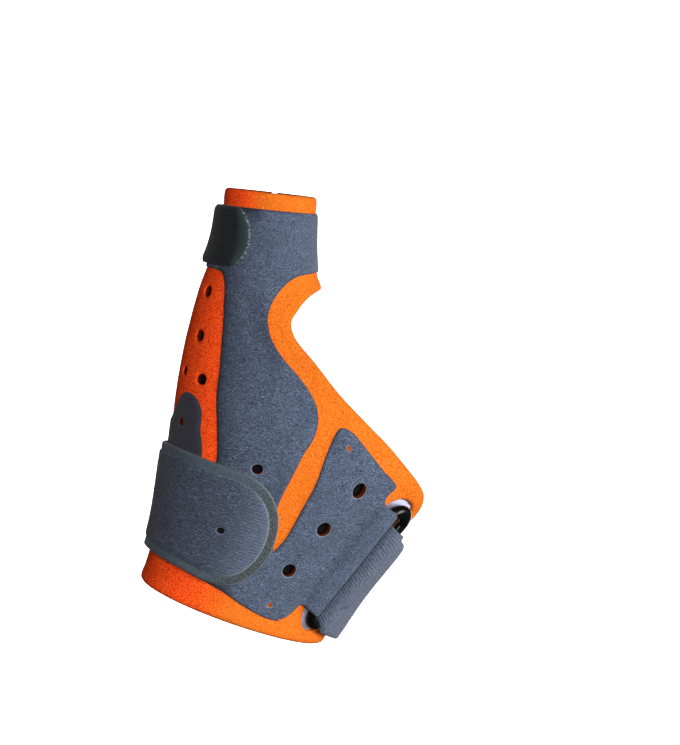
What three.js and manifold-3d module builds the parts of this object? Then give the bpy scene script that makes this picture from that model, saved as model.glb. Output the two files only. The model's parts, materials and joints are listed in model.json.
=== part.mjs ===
// Thumb splint for the right side: a laminated cuff with a tube for the thumb, stood on its wrist rim.
// Millimetres, +Z up. +X is the little-finger side, -Y the back of the cuff that faces forward.
// A point of the cuff is named by its turn round the axis (degrees: 0 right, 90 front, 180 left,
// 270 behind), its height along the axis and its depth above the skin-side surface.

import * as THREE from 'three';
import { mergeVertices } from 'three/addons/utils/BufferGeometryUtils.js';
import Module from 'manifold-3d';

const wasm = await Module();
wasm.setup();

// Driving dimensions of the cuff
const SPLINT_HEIGHT = 121;
const WRIST_WIDTH = 57;
const WRIST_DEPTH = 40;
const WRIST_TWIST = 32;
const THUMB_BORE = 22.4;

// Walls and the clearance between two layers
const LINER_WALL = 2.4;
const SHELL_WALL = 0.8;
const STRAP_WALL = 1.4;
const PAD_WALL = 0.8;
const LAYER_GAP = 0.3;

// Holes, and the slit behind the thumb in degrees of turn
const VENT_HOLE = 3.4;
const SNAP_HOLE = 2.2;
const SLIT_TURN = 272;
const SLIT_OPEN = 8;

// Ring that joins the outer shell to the wrist strap
const RING_LENGTH = 46;
const RING_WIDTH = 10.8;
const RING_WIRE = 3;
const RING_TURN = 12;
const RING_HEIGHT = RING_LENGTH / 2 + 3;
const RING_SLANT = -0.5;
const RING_BRIDGE = 0.9;
const WINDOW_MARGIN = 1.7;
const PAD_MARGIN = 3;
const RING_END = 3.6;
const TONGUE_WIDTH = 37.5;

// Where tongue and strap leave the cuff for the ring: beyond the bar, and the depth reached there.
// The strap keeps its depth for STRAP_STAY and then falls to the cuff over STRAP_FALL.
const WRAP_RUN = 4;
const TONGUE_DEPTH = 3.1;
const TONGUE_SLOPE = 5;
const STRAP_LIFT = 4.8;
const STRAP_STAY = 6;
const STRAP_FALL = 14;
const WRAP_FOLD = 0.8;
const WRAP_TAB = 1.2;
const WRAP_TAB_INSET = 0.1;

// Straps
const STRAP_WIDTH = 35.5;
const STRAP_END = 33;
const STRAP_SHIFT = -1;
const STRAP_SKIN_GAP = 0.6;
const THUMB_STRAP_WIDTH = 17;
const THUMB_STRAP_DROP = 13.5;
const THUMB_STRAP_START = 106;
const THUMB_STRAP_FINISH = 300;
const THUMB_STRAP_END = 20;

// Turns at which the wrist strap leaves the liner, lies on the skin, and climbs the liner again
const STRAP_LEAVES = [-90, -64];
const STRAP_CLIMBS = [-46, -24];

// Depths of the layers, from the skin side outwards
const SHELL_DEPTH = LINER_WALL + LAYER_GAP;
const STRAP_DEPTH = SHELL_DEPTH + SHELL_WALL + LAYER_GAP;
const RING_DEPTH = RING_WIRE / 2 + LINER_WALL * 0.7;
const WRAP_RADIUS = RING_WIRE / 2 + LAYER_GAP;

// Faceting
const COLUMN_TURN = 10;
const ROWS = 25;
const HOLE_SIDES = 8;
const PITCH = 0.5;
const BOWL = 2000;

// Cross sections of the skin side. height and axis are shares of SPLINT_HEIGHT, lean is in degrees,
// handX, handY, thumbX and thumbY are shares of WRIST_WIDTH, wide of its half, deep of half of
// WRIST_DEPTH, and round and blend are shares of half of THUMB_BORE.
const SECTION_COLUMNS = [
  'height', 'axis', 'lean', 'handX', 'handY', 'wide', 'deep', 'thumbX', 'thumbY', 'round', 'blend',
];
const SECTIONS = [
  [0.00, 0.000, 0.0, 0.000, 0.000, 1.00, 0.99, -0.158, -0.053, 1.25, 0.71],
  [0.15, 0.008, 1.0, 0.009, 0.000, 1.05, 1.00, -0.211, -0.070, 1.43, 0.80],
  [0.31, 0.017, 4.0, 0.044, 0.009, 1.21, 1.02, -0.298, -0.088, 1.56, 0.89],
  [0.45, 0.008, 9.0, 0.114, 0.018, 1.33, 1.02, -0.342, -0.088, 1.61, 0.89],
  [0.56, -0.050, 15.0, 0.123, 0.018, 1.12, 0.97, -0.298, -0.070, 1.52, 0.89],
  [0.68, -0.140, 20.0, 0.070, 0.018, 0.74, 0.80, -0.193, -0.035, 1.38, 0.89],
  [0.77, -0.215, 20.0, 0.009, 0.009, 0.46, 0.62, -0.079, -0.018, 1.25, 0.71],
  [0.86, -0.256, 17.0, 0.000, 0.000, 0.32, 0.45, -0.014, 0.000, 1.10, 0.54],
  [1.00, -0.303, 15.8, 0.000, 0.000, 0.25, 0.35, 0.000, 0.000, 1.00, 0.36],
];

// Outlines as runs of [turn, share of SPLINT_HEIGHT]: a run of more than two points is a smooth
// curve, and two runs meet in a corner. BELOW and ABOVE are past the two rims.
const BELOW = -0.04;
const ABOVE = 1.04;
const SLIT_LEFT = SLIT_TURN - SLIT_OPEN / 2;
const SLIT_RIGHT = SLIT_TURN + SLIT_OPEN / 2 - 360;

const LINER_OUTLINE = [
  [[-12, BELOW], [266, BELOW]],
  [[267, 0.10], [268, 0.26], [264, 0.36], [256, 0.46], [254, 0.56], [260, 0.67], [SLIT_LEFT, 0.76]],
  [[SLIT_LEFT, ABOVE], [SLIT_RIGHT, ABOVE]],
  [[SLIT_RIGHT, 0.80], [-62, 0.775], [-25, 0.77], [11, 0.772], [42, 0.758], [62, 0.735], [76, 0.708],
    [77, 0.685], [66, 0.636], [55, 0.583], [40, 0.537], [23, 0.493], [9, 0.453], [0, 0.429],
    [-8, 0.406], [-16, 0.365], [-20, 0.30], [-20, 0.18], [-14, 0.04]],
];

const SHELL_OUTLINE = [
  [[124, 0.082], [130, 0.20], [131, 0.38], [134, 0.46], [136, 0.547], [135, 0.61], [133, 0.683],
    [130, 0.733], [129, 0.779], [134, 0.803], [150, 0.812]],
  [[258, 0.812], [258, 0.96]],
  [[-74, 0.96], [-74, 0.83]],
  [[-40, 0.822], [0, 0.818], [29, 0.815], [58, 0.803], [82, 0.764], [96, 0.722], [99, 0.685],
    [94, 0.643], [84, 0.603], [77, 0.565], [76, 0.535], [81, 0.492], [90, 0.443], [94, 0.382],
    [95, 0.319], [92, 0.26], [84, 0.203]],
  [[80, 0.242], [78, 0.309], [76, 0.373], [74, 0.443], [67, 0.492], [60, 0.516], [52, 0.512], [40, 0.480]],
];
const SHELL_OUTLINE_LOW = [
  [[52, 0.043], [65, 0.042], [88, 0.055], [105, 0.072], [124, 0.082]],
];

const PALM_OUTLINE = [
  [[138, 0.080], [138, 0.383], [142, 0.449], [143, 0.495], [146, 0.526], [150, 0.539], [154, 0.542],
    [158, 0.530], [162, 0.490], [168, 0.455], [180, 0.435], [215, 0.41], [240, 0.37], [252, 0.33],
    [254, 0.27]],
  [[254, 0.27], [252, 0.08]],
];

// Vent holes as [turn, share of SPLINT_HEIGHT, size as a share of VENT_HOLE]
const STRIPE_HOLES = [[149, 0.766, 0.8], [151, 0.679, 0.85], [146, 0.581, 0.95], [160, 0.595, 0.7]];
const PALM_HOLES = [[155, 0.453, 0.75]];
const SHELL_HOLES = [[113, 0.392, 0.85], [41, 0.398, 1.15], [54, 0.291, 1.15], [65, 0.172, 1.1]];
const SNAP_HOLES = [[55, 0.479], [67, 0.076]];

// Centre line of the wrist strap beyond the ring, as [turn, share of SPLINT_HEIGHT]
const STRAP_LINE = [
  [-45, 0.172], [-90, 0.168], [-150, 0.205], [-200, 0.232], [-240, 0.229], [-273, 0.205],
];

const COLOURS = { liner: 0xf58220, shell: 0x5b6779, strap: 0x44505c, ring: 0x121214, pad: 0xa6a6ba };

// The form

const mix = (a, b, share) => a + (b - a) * share;
const eased = (x, from, to) => THREE.MathUtils.smoothstep((x - from) / (to - from), 0, 1);

function sectionAt(height) {
  const share = THREE.MathUtils.clamp(height / SPLINT_HEIGHT, 0, 1);
  const last = SECTIONS.length - 1;
  const at = Math.min(last - 1, SECTIONS.findLastIndex((row) => row[0] <= share));
  const slope = (i, j, column) => {
    const rise = SECTIONS[j][column] - SECTIONS[i][column];
    return rise / (SECTIONS[j][0] - SECTIONS[i][0]);
  };
  const tangent = (i, column) => {
    if (i === 0) return slope(0, 1, column);
    if (i === last) return slope(last - 1, last, column);
    const before = SECTIONS[i][0] - SECTIONS[i - 1][0];
    const after = SECTIONS[i + 1][0] - SECTIONS[i][0];
    return (slope(i - 1, i, column) * after + slope(i, i + 1, column) * before) / (before + after);
  };
  const step = SECTIONS[at + 1][0] - SECTIONS[at][0];
  const t = (share - SECTIONS[at][0]) / step;
  const row = {};
  SECTION_COLUMNS.forEach((name, column) => {
    row[name] = (2 * t ** 3 - 3 * t ** 2 + 1) * SECTIONS[at][column]
      + (t ** 3 - 2 * t ** 2 + t) * step * tangent(at, column)
      + (3 * t ** 2 - 2 * t ** 3) * SECTIONS[at + 1][column]
      + (t ** 3 - t ** 2) * step * tangent(at + 1, column);
  });
  return row;
}

// Distance from the axis to the skin side: an oval for the hand joined softly to a round for the thumb
function reach(row, turn) {
  const angle = THREE.MathUtils.degToRad(turn);
  const twist = THREE.MathUtils.degToRad(WRIST_TWIST);
  const wide = row.wide * WRIST_WIDTH / 2;
  const deep = row.deep * WRIST_DEPTH / 2;
  const blend = row.blend * THUMB_BORE / 2;
  let low = 0;
  let high = 2 * WRIST_WIDTH;
  for (let i = 0; i < 34; i += 1) {
    const r = (low + high) / 2;
    const x = r * Math.cos(angle);
    const y = -r * Math.sin(angle);
    const hx = x - row.handX * WRIST_WIDTH;
    const hy = y - row.handY * WRIST_WIDTH;
    const along = hx * Math.cos(twist) + hy * Math.sin(twist);
    const across = hy * Math.cos(twist) - hx * Math.sin(twist);
    const ratio = Math.hypot(along / wide, across / deep);
    const steep = Math.hypot(along / wide ** 2, across / deep ** 2) + 1e-9;
    const hand = ratio * (ratio - 1) / steep;
    const thumb = Math.hypot(x - row.thumbX * WRIST_WIDTH, y - row.thumbY * WRIST_WIDTH);
    const lobe = thumb - row.round * THUMB_BORE / 2;
    const near = Math.max(blend - Math.abs(hand - lobe), 0) / blend;
    if (Math.min(hand, lobe) - near * near * blend / 4 < 0) low = r;
    else high = r;
  }
  return (low + high) / 2;
}

function skin(turn, height) {
  const row = sectionAt(height);
  const angle = THREE.MathUtils.degToRad(turn);
  const lean = THREE.MathUtils.degToRad(row.lean);
  const r = reach(row, turn);
  const side = r * Math.cos(angle);
  return new THREE.Vector3(
    row.axis * SPLINT_HEIGHT + side * Math.cos(lean),
    -r * Math.sin(angle),
    height + side * Math.sin(lean),
  );
}

// A point at a depth above the skin side. Near the two rims the depth is measured in the plane of
// the rim, so that both rims are flat.
function place(turn, height, depth) {
  const step = 0.12;
  const low = Math.max(height - step, 0);
  const high = Math.min(height + step, SPLINT_HEIGHT);
  const up = skin(turn, high).sub(skin(turn, low));
  const round = skin(turn + step, height).sub(skin(turn - step, height));
  const out = up.cross(round).normalize();
  const lean = THREE.MathUtils.degToRad(sectionAt(height).lean);
  const axis = new THREE.Vector3(-Math.sin(lean), 0, Math.cos(lean));
  const share = height / SPLINT_HEIGHT;
  const flat = 1 - THREE.MathUtils.smoothstep(Math.min(share / 0.08, (1 - share) / 0.06), 0, 1);
  out.addScaledVector(axis, -out.dot(axis) * flat).normalize();
  return skin(turn, height).addScaledVector(out, depth);
}

// Pattern space: x is the turn times PITCH, y the height, z the depth on a very shallow bowl, which
// keeps the rows and columns of a sheet through the cuts made there
const bowl = (x, y) => (x * x + y * y) / BOWL;
const patternPoint = (turn, height, depth) => {
  const x = turn * PITCH;
  return new THREE.Vector3(x, height, depth + bowl(x, height));
};

function solid(geometry) {
  const plain = geometry.clone();
  plain.deleteAttribute('normal');
  plain.deleteAttribute('uv');
  const merged = mergeVertices(plain, 1e-4);
  return new wasm.Manifold(new wasm.Mesh({
    numProp: 3,
    vertProperties: Float32Array.from(merged.attributes.position.array),
    triVerts: Uint32Array.from(merged.index.array),
  }));
}

// The pattern is left-handed to the world, so the triangles are turned over as it is formed
function formed(pattern) {
  const mesh = pattern.getMesh();
  const points = [];
  for (let i = 0; i < mesh.vertProperties.length; i += 3) {
    const [x, y, z] = mesh.vertProperties.slice(i, i + 3);
    points.push(...place(x / PITCH, y, z - bowl(x, y)).toArray());
  }
  const order = [];
  for (let i = 0; i < mesh.triVerts.length; i += 3) {
    order.push(mesh.triVerts[i], mesh.triVerts[i + 2], mesh.triVerts[i + 1]);
  }
  const geometry = new THREE.BufferGeometry();
  geometry.setAttribute('position', new THREE.Float32BufferAttribute(points, 3));
  geometry.setIndex(order);
  geometry.computeVertexNormals();
  return geometry;
}

// A closed slab of rows and columns between two depths that may vary over the cuff
function slab(fromTurn, toTurn, inner, outer) {
  const first = Math.floor((fromTurn + 90) / COLUMN_TURN);
  const columns = Math.ceil((toTurn + 90) / COLUMN_TURN) - first;
  const points = [];
  const faces = [];
  const index = (i, j, side) => ((j * (columns + 1)) + i) * 2 + side;
  for (let j = 0; j <= ROWS; j += 1) {
    for (let i = 0; i <= columns; i += 1) {
      const turn = (first + i) * COLUMN_TURN - 90;
      const height = SPLINT_HEIGHT * j / ROWS;
      points.push(...patternPoint(turn, height, inner(turn, height)).toArray());
      points.push(...patternPoint(turn, height, outer(turn, height)).toArray());
    }
  }
  const quad = (a, b, c, d) => faces.push(a, b, c, a, c, d);
  for (let j = 0; j < ROWS; j += 1) {
    for (let i = 0; i < columns; i += 1) {
      quad(index(i, j, 1), index(i + 1, j, 1), index(i + 1, j + 1, 1), index(i, j + 1, 1));
      quad(index(i, j + 1, 0), index(i + 1, j + 1, 0), index(i + 1, j, 0), index(i, j, 0));
    }
    quad(index(0, j, 0), index(0, j, 1), index(0, j + 1, 1), index(0, j + 1, 0));
    quad(index(columns, j, 1), index(columns, j, 0), index(columns, j + 1, 0), index(columns, j + 1, 1));
  }
  for (let i = 0; i < columns; i += 1) {
    quad(index(i, 0, 0), index(i + 1, 0, 0), index(i + 1, 0, 1), index(i, 0, 1));
    quad(index(i, ROWS, 1), index(i + 1, ROWS, 1), index(i + 1, ROWS, 0), index(i, ROWS, 0));
  }
  const geometry = new THREE.BufferGeometry();
  geometry.setAttribute('position', new THREE.Float32BufferAttribute(points, 3));
  geometry.setIndex(faces);
  return solid(geometry);
}

// An upright prism through every layer over an outline of pattern points
function prism(points) {
  const shape = new THREE.Shape(points);
  const geometry = new THREE.ExtrudeGeometry(shape, { depth: 80, bevelEnabled: false });
  return solid(geometry.translate(0, 0, -20));
}

function outlinePoints(runs) {
  const points = [];
  for (const run of runs) {
    const corners = run.map(([turn, share]) => new THREE.Vector3(turn * PITCH, share * SPLINT_HEIGHT, 0));
    const curve = new THREE.CatmullRomCurve3(corners, false, 'centripetal');
    const drawn = run.length > 2 ? curve.getPoints((run.length - 1) * 2) : corners;
    for (const { x, y } of drawn) {
      const before = points.at(-1);
      if (!before || Math.hypot(before.x - x, before.y - y) > 0.05) points.push(new THREE.Vector2(x, y));
    }
  }
  return points;
}

// Millimetres round the skin for one degree of turn
function degreeLength(turn, height) {
  return skin(turn + 0.5, height).distanceTo(skin(turn - 0.5, height));
}

function holePrism(turn, share, size) {
  const height = share * SPLINT_HEIGHT;
  const stretch = PITCH / degreeLength(turn, height);
  const points = [];
  for (let i = 0; i < HOLE_SIDES; i += 1) {
    const angle = 2 * Math.PI * i / HOLE_SIDES;
    points.push(new THREE.Vector2(
      turn * PITCH + Math.cos(angle) * size / 2 * stretch,
      height + Math.sin(angle) * size / 2,
    ));
  }
  return prism(points);
}

function cutHoles(pattern, holes, size) {
  const cut = (left, [turn, share, scale = 1]) => left.subtract(holePrism(turn, share, size * scale));
  return holes.reduce(cut, pattern);
}

// The ring's own frame on the cuff: along its bars and across them, in millimetres
const ringFrame = (() => {
  const at = (turn, height) => place(turn, height, RING_DEPTH);
  const round = at(RING_TURN + 0.5, RING_HEIGHT).sub(at(RING_TURN - 0.5, RING_HEIGHT));
  const up = at(RING_TURN, RING_HEIGHT + 0.5).sub(at(RING_TURN, RING_HEIGHT - 0.5));
  const bar = up.clone().addScaledVector(round, RING_SLANT);
  const lean = round.dot(bar) / bar.lengthSq();
  const acrossTurn = 1 - lean * RING_SLANT;
  const acrossLength = round.clone().multiplyScalar(acrossTurn).addScaledVector(up, -lean).length();
  return {
    alongTurn: RING_SLANT / bar.length(),
    alongHeight: 1 / bar.length(),
    acrossTurn: acrossTurn / acrossLength,
    acrossHeight: -lean / acrossLength,
  };
})();

function onRing(along, across) {
  return {
    turn: RING_TURN + along * ringFrame.alongTurn + across * ringFrame.acrossTurn,
    height: RING_HEIGHT + along * ringFrame.alongHeight + across * ringFrame.acrossHeight,
  };
}

// How far along and across from the middle of the ring a point of the cuff lies
function besideRing(turn, height) {
  const t = turn - RING_TURN;
  const h = height - RING_HEIGHT;
  const { alongTurn, alongHeight, acrossTurn, acrossHeight } = ringFrame;
  const whole = acrossTurn * alongHeight - acrossHeight * alongTurn;
  return {
    along: (h * acrossTurn - t * acrossHeight) / whole,
    across: (t * alongHeight - h * alongTurn) / whole,
  };
}

// The straight ring bridges the hollow of the wrist
const bridge = (along) => RING_BRIDGE * (1 - Math.min(1, (2 * along / RING_LENGTH) ** 2));

// A shape drawn as across and depth, pushed along the ring's bars, or one drawn on the ring's plane
function ringSolid(geometry, read) {
  const position = geometry.attributes.position;
  for (let i = 0; i < position.count; i += 1) {
    const { along, across, depth } = read(position.getX(i), position.getY(i), position.getZ(i));
    const { turn, height } = onRing(along, across);
    position.setXYZ(i, ...patternPoint(turn, height, depth + bridge(along)).toArray());
  }
  return solid(geometry);
}

const BAR = (RING_WIDTH - RING_WIRE) / 2;
const WRAP_JOIN = BAR + WRAP_RUN;

// A band that comes off the cuff at a depth, goes over one bar of the ring and back under it. side
// is +1 for the bar next to the shell and -1 for the bar next to the strap, and middle is the place
// of the band's centre line along the bar.
function barWrap(side, wall, width, start, middle) {
  const low = start + WRAP_TAB_INSET;
  const high = start + wall - WRAP_TAB_INSET;
  const inner = [[WRAP_JOIN + WRAP_TAB, low], [WRAP_JOIN, low]];
  const outer = [[WRAP_JOIN + WRAP_TAB, high], [WRAP_JOIN, high]];
  for (let degrees = 75; degrees <= 270; degrees += 19.5) {
    const angle = THREE.MathUtils.degToRad(degrees);
    inner.push([BAR + WRAP_RADIUS * Math.cos(angle), RING_DEPTH + WRAP_RADIUS * Math.sin(angle)]);
    const radius = WRAP_RADIUS + wall;
    outer.push([BAR + radius * Math.cos(angle), RING_DEPTH + radius * Math.sin(angle)]);
  }
  const fold = BAR + RING_WIRE / 2 + WRAP_FOLD;
  inner.push([fold, RING_DEPTH - WRAP_RADIUS]);
  outer.push([fold, RING_DEPTH - WRAP_RADIUS - wall]);
  const outline = [...inner, ...outer.reverse()].map(([x, y]) => new THREE.Vector2(x, y));
  const shape = new THREE.Shape(outline);
  const geometry = new THREE.ExtrudeGeometry(shape, { depth: width, steps: 6, bevelEnabled: false });
  const read = (x, y, z) => ({
    along: middle + side * (width / 2 - z),
    across: side * x,
    depth: y,
  });
  return ringSolid(geometry, read);
}

function roundedRectangle(path, length, width, corner) {
  const x = length / 2;
  const y = width / 2;
  path.moveTo(-x + corner, -y);
  path.lineTo(x - corner, -y);
  path.absarc(x - corner, -y + corner, corner, -Math.PI / 2, 0, false);
  path.lineTo(x, y - corner);
  path.absarc(x - corner, y - corner, corner, 0, Math.PI / 2, false);
  path.lineTo(-x + corner, y);
  path.absarc(-x + corner, y - corner, corner, Math.PI / 2, Math.PI, false);
  path.lineTo(-x, -y + corner);
  path.absarc(-x + corner, -y + corner, corner, Math.PI, 1.5 * Math.PI, false);
  return path;
}

// Pattern points of a rounded rectangle round the ring, margin wider than the ring on every side
function ringOutline(margin) {
  const corner = RING_WIDTH / 2 + margin - 0.4;
  const length = RING_LENGTH + 2 * margin;
  const shape = roundedRectangle(new THREE.Shape(), length, RING_WIDTH + 2 * margin, corner);
  return shape.getPoints(5).slice(0, -1).map(({ x, y }) => {
    const { turn, height } = onRing(x, y);
    return new THREE.Vector2(turn * PITCH, height);
  });
}

// The pieces, as solids in pattern space

const level = (depth) => () => depth;

function linerPattern() {
  const sheet = slab(-90, 270, level(0), level(LINER_WALL)).intersect(prism(outlinePoints(LINER_OUTLINE)));
  const vented = cutHoles(sheet, [...STRIPE_HOLES, ...PALM_HOLES, ...SHELL_HOLES], VENT_HOLE);
  return vented.subtract(prism(ringOutline(WINDOW_MARGIN)));
}

function shellPattern() {
  const rise = (turn, height) => {
    const { along, across } = besideRing(turn, height);
    const beside = height < RING_HEIGHT + RING_LENGTH / 2 + TONGUE_SLOPE;
    const near = beside ? 1 - eased(across, WRAP_JOIN, WRAP_JOIN + TONGUE_SLOPE) : 0;
    return mix(SHELL_DEPTH, TONGUE_DEPTH + bridge(along), near);
  };
  const tongueEdge = (along, across) => {
    const { turn, height } = onRing(along, across);
    return new THREE.Vector2(turn * PITCH, height);
  };
  const half = TONGUE_WIDTH / 2;
  const outline = [
    ...outlinePoints(SHELL_OUTLINE),
    tongueEdge(RING_LENGTH / 2 + 4, WRAP_JOIN + 6.6),
    tongueEdge(RING_LENGTH / 2 + 2.3, WRAP_JOIN + 1.6),
    tongueEdge(half + 3, WRAP_JOIN + 1.2),
    tongueEdge(half, WRAP_JOIN + 0.5),
    tongueEdge(half, WRAP_JOIN),
    tongueEdge(-half, WRAP_JOIN),
    tongueEdge(-half, WRAP_JOIN + 2),
    tongueEdge(-RING_LENGTH / 2 - 1.7, WRAP_JOIN + 5),
    ...outlinePoints(SHELL_OUTLINE_LOW),
  ];
  const top = (turn, height) => rise(turn, height) + SHELL_WALL;
  const sheet = slab(-90, 270, rise, top).intersect(prism(outline));
  const vented = cutHoles(cutHoles(sheet, SHELL_HOLES, VENT_HOLE), SNAP_HOLES, SNAP_HOLE);
  return vented.add(barWrap(1, SHELL_WALL, TONGUE_WIDTH, TONGUE_DEPTH, 0));
}

function palmPattern() {
  const sheet = slab(120, 270, level(SHELL_DEPTH), level(SHELL_DEPTH + SHELL_WALL));
  return cutHoles(sheet.intersect(prism(outlinePoints(PALM_OUTLINE))), PALM_HOLES, VENT_HOLE);
}

// Outline of a band: a centre line, its width, and a rounded end of the given length in degrees
function bandOutline(centre, width, endTurn, endLength) {
  const upper = [];
  const lower = [];
  for (const [turn, height] of centre) {
    const left = Math.min(1, (turn - endTurn) / endLength);
    const half = width / 2 * Math.sqrt(Math.max(0, 1 - (1 - left) ** 2));
    upper.push(new THREE.Vector2(turn * PITCH, height + half));
    if (half > 0) lower.push(new THREE.Vector2(turn * PITCH, height - half));
  }
  return [...upper, ...lower.reverse()];
}

function wristStrapPattern() {
  const half = STRAP_WIDTH / 2;
  const start = onRing(STRAP_SHIFT, -WRAP_JOIN);
  const laid = STRAP_LINE.map(([turn, share]) => [turn, share * SPLINT_HEIGHT]);
  const line = [[start.turn, start.height], ...laid];
  const points = line.map(([turn, height]) => new THREE.Vector3(turn, height, 0));
  const curve = new THREE.CatmullRomCurve3(points);
  const endTurn = line.at(-1)[0];
  const centre = curve.getPoints(72).map(({ x, y }) => [x, y]).filter(([turn]) => turn < start.turn - 14);
  const edge = (along) => {
    const { turn, height } = onRing(STRAP_SHIFT + along, -WRAP_JOIN);
    return new THREE.Vector2(turn * PITCH, height);
  };
  const outline = [edge(half), ...bandOutline(centre, STRAP_WIDTH, endTurn, STRAP_END), edge(-half)];
  const base = (turn, height) => {
    const free = mix(STRAP_DEPTH, STRAP_SKIN_GAP, eased(turn, ...STRAP_LEAVES));
    const over = mix(free, SHELL_DEPTH, eased(turn, ...STRAP_CLIMBS));
    const { along, across } = besideRing(turn, height);
    const high = -WRAP_JOIN - STRAP_STAY;
    return mix(over, STRAP_LIFT + bridge(along), eased(across, high - STRAP_FALL, high));
  };
  const top = (turn, height) => base(turn, height) + STRAP_WALL;
  const sheet = slab(-280, 20, base, top).intersect(prism(outline));
  return sheet.add(barWrap(-1, STRAP_WALL, STRAP_WIDTH, STRAP_LIFT, STRAP_SHIFT));
}

function thumbStrapPattern() {
  const middle = SPLINT_HEIGHT - THUMB_STRAP_DROP;
  const centre = [];
  for (let turn = THUMB_STRAP_START; turn < THUMB_STRAP_START + THUMB_STRAP_END; turn += THUMB_STRAP_END / 6) {
    centre.push([turn, middle]);
  }
  centre.push([THUMB_STRAP_FINISH, middle]);
  const outline = bandOutline(centre, THUMB_STRAP_WIDTH, THUMB_STRAP_START, THUMB_STRAP_END);
  return slab(90, 310, level(STRAP_DEPTH), level(STRAP_DEPTH + STRAP_WALL)).intersect(prism(outline));
}

// Points of a closed path with its long sides divided, so that they can follow the cuff
function divided(path, longest) {
  const points = path.getPoints(4).slice(0, -1);
  return points.flatMap((point, i) => {
    const next = points[(i + 1) % points.length];
    const parts = Math.max(1, Math.round(point.distanceTo(next) / longest));
    return Array.from({ length: parts }, (_, k) => point.clone().lerp(next, k / parts));
  });
}

function ringPattern() {
  const round = 0.4 * RING_WIRE;
  const length = RING_LENGTH - 2 * round;
  const width = RING_WIDTH - 2 * round;
  const slotLength = length - 2 * (RING_END - 2 * round);
  const slotWidth = width - 2 * (RING_WIRE - 2 * round);
  const rim = roundedRectangle(new THREE.Shape(), length, width, width / 2 - 0.4);
  const slot = roundedRectangle(new THREE.Path(), slotLength, slotWidth, slotWidth / 3);
  const shape = new THREE.Shape(divided(rim, RING_LENGTH / 7));
  shape.holes.push(new THREE.Path(divided(slot, RING_LENGTH / 7)));
  const geometry = new THREE.ExtrudeGeometry(shape, {
    depth: RING_WIRE - 2 * round,
    bevelThickness: round,
    bevelSize: round,
    bevelSegments: 2,
  });
  const read = (x, y, z) => ({ along: -x, across: y, depth: RING_DEPTH + z - (RING_WIRE - 2 * round) / 2 });
  return ringSolid(geometry, read);
}

function padPattern() {
  const sheet = slab(-40, 60, level(-LAYER_GAP - PAD_WALL), level(-LAYER_GAP));
  return sheet.intersect(prism(ringOutline(WINDOW_MARGIN + PAD_MARGIN)));
}

// The assembly

function piece(name, pattern, colour, roughness) {
  const material = new THREE.MeshStandardMaterial({ color: colour, roughness, metalness: 0 });
  const mesh = new THREE.Mesh(formed(pattern), material);
  mesh.name = name;
  return mesh;
}

const splint = new THREE.Group();
splint.add(piece('liner', linerPattern(), COLOURS.liner, 0.9));
splint.add(piece('outer_shell', shellPattern(), COLOURS.shell, 0.85));
splint.add(piece('palm_panel', palmPattern(), COLOURS.shell, 0.85));
splint.add(piece('thumb_strap', thumbStrapPattern(), COLOURS.strap, 0.85));
splint.add(piece('wrist_strap', wristStrapPattern(), COLOURS.strap, 0.85));
splint.add(piece('strap_ring', ringPattern(), COLOURS.ring, 0.3));
splint.add(piece('ring_pad', padPattern(), COLOURS.pad, 0.8));

// The origin is the middle of the footprint, on the plane of the wrist rim
const box = new THREE.Box3().setFromObject(splint);
splint.position.set(-(box.min.x + box.max.x) / 2, -(box.min.y + box.max.y) / 2, 0);

export default splint;
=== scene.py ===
import json
import math

import bmesh
import bpy
import numpy as np
from mathutils import Matrix, Vector
from mathutils.geometry import delaunay_2d_cdt

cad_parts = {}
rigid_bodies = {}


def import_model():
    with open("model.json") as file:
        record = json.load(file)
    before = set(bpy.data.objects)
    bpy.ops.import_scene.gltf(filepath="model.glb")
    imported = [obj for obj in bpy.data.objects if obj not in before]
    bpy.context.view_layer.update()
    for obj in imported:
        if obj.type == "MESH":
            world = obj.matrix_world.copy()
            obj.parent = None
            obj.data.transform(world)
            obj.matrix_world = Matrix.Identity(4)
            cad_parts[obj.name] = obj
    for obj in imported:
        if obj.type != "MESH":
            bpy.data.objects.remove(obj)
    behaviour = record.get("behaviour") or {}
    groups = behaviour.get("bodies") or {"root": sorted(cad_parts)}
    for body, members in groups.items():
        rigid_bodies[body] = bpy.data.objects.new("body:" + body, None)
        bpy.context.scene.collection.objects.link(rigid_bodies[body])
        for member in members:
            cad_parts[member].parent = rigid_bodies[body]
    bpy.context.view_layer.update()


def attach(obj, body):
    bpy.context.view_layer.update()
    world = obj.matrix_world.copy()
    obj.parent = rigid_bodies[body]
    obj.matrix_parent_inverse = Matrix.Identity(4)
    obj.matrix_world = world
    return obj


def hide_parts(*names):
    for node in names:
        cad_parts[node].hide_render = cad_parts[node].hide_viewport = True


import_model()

# Lengths are millimetres on the cuff and metres in the world. A point of the cuff is named by its
# turn round the axis (degrees: 0 right, 90 front, 180 left, 270 behind), its height along the axis
# and its depth above the skin side, as in the CAD source.
MM = 0.001
SPLINT_HEIGHT = 121.0
WRIST_WIDTH = 57.0
WRIST_DEPTH = 40.0
WRIST_TWIST = 32.0
THUMB_BORE = 22.4
CUFF_ORIGIN = (4.28, 2.03)

LINER_WALL = 2.4
STRAP_WALL = 1.4
STRAP_DEPTH = 3.6
LINING_WALL = 0.25
VELOUR_WALL = 0.55
VELOUR_DEPTH = 2.5
TAIL_WALL = 0.85

VENT_HOLE = 3.4
SNAP_HOLE = 2.2
SLIT_LEFT = 268
SLIT_RIGHT = -84

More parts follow.
